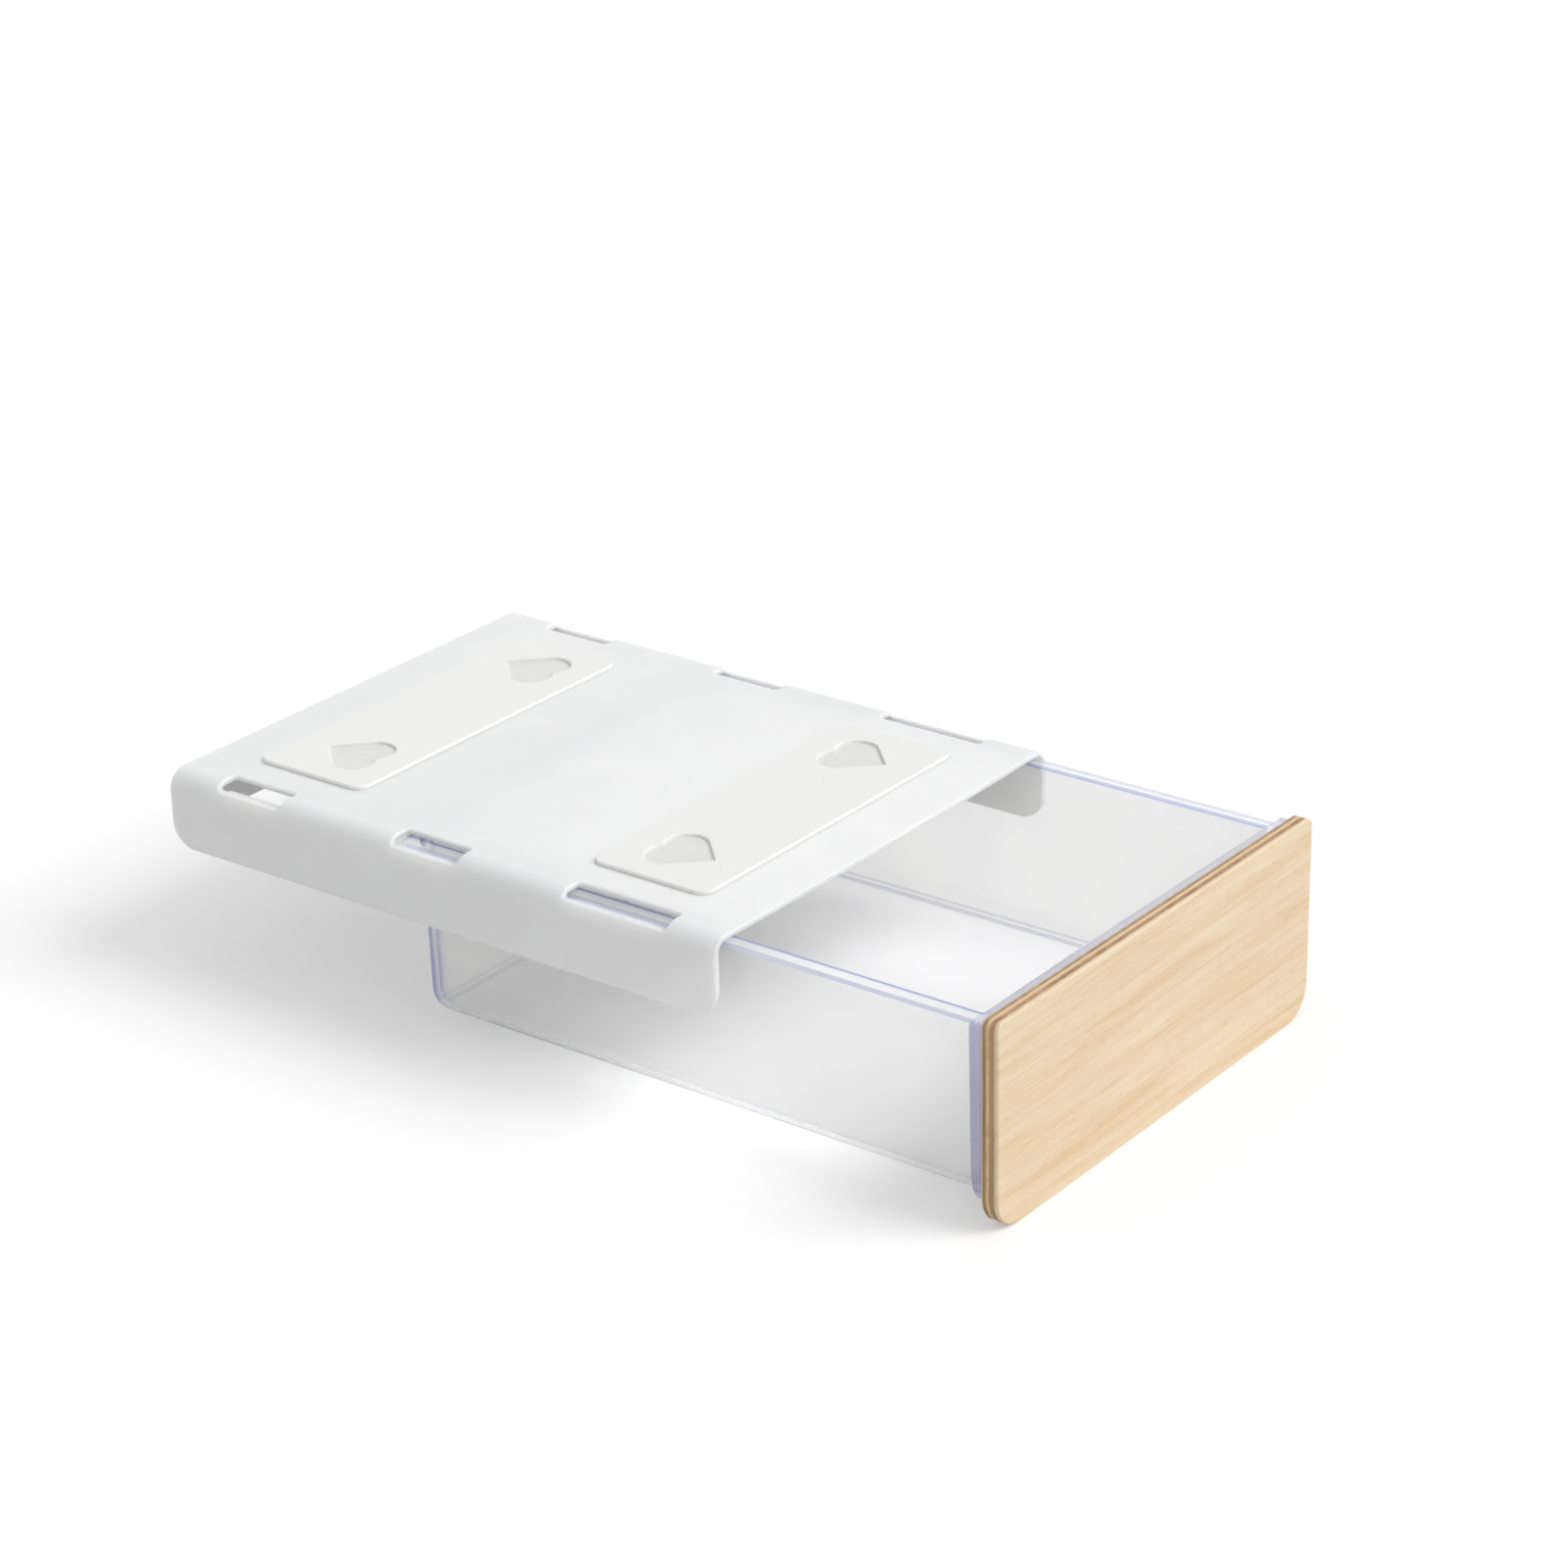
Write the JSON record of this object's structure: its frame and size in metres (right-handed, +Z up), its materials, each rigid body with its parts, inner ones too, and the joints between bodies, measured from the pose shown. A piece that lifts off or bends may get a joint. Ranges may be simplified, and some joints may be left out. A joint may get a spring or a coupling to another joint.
{
  "type": "under-desk stick-on drawer",
  "caption": "Stick-on under-desk drawer: clear tub with a plywood front slides on ledges in a white housing held up by adhesive pads.",
  "frame": {"origin": "centre of the front adhesive pad's upper face, in the plane of the desk's underside", "axes": "+Z up out of the pads towards the desk, +Y from the drawer's wooden front towards the housing's rear, +X across"},
  "size_m": [0.16, 0.2924, 0.062],
  "materials": {
    "housing_white": "fine matt moulded plastic",
    "adhesive_foam": "smooth face on fine foam",
    "adhesive_film": "greyish acrylic adhesive",
    "clear_plastic": "clear moulded plastic, a little hazy",
    "clear_tape": "clear acrylic mounting tape",
    "face_wood": "light oak veneer, oiled",
    "back_wood": "light veneer",
    "dark_wood": "brown end grain of a cross layer",
    "light_wood": "light long grain of the core"
  },
  "bodies": {
    "housing": {"housing": "housing_white", "front_adhesive_pad": "adhesive_foam", "front_adhesive_layer": "adhesive_film", "rear_adhesive_pad": "adhesive_foam", "rear_adhesive_layer": "adhesive_film"},
    "drawer": {"drawer_tub": "clear_plastic", "panel_tape": "clear_tape", "back_veneer": "back_wood", "back_crossband": "dark_wood", "core_ply": "light_wood", "front_crossband": "dark_wood", "front_veneer": "face_wood"}
  },
  "joints": [
    {"name": "drawer_slide", "type": "slide", "parent": "housing", "child": "drawer", "axis": [0, -1, 0], "range_m": [-0.0798, 0.022]}
  ]
}
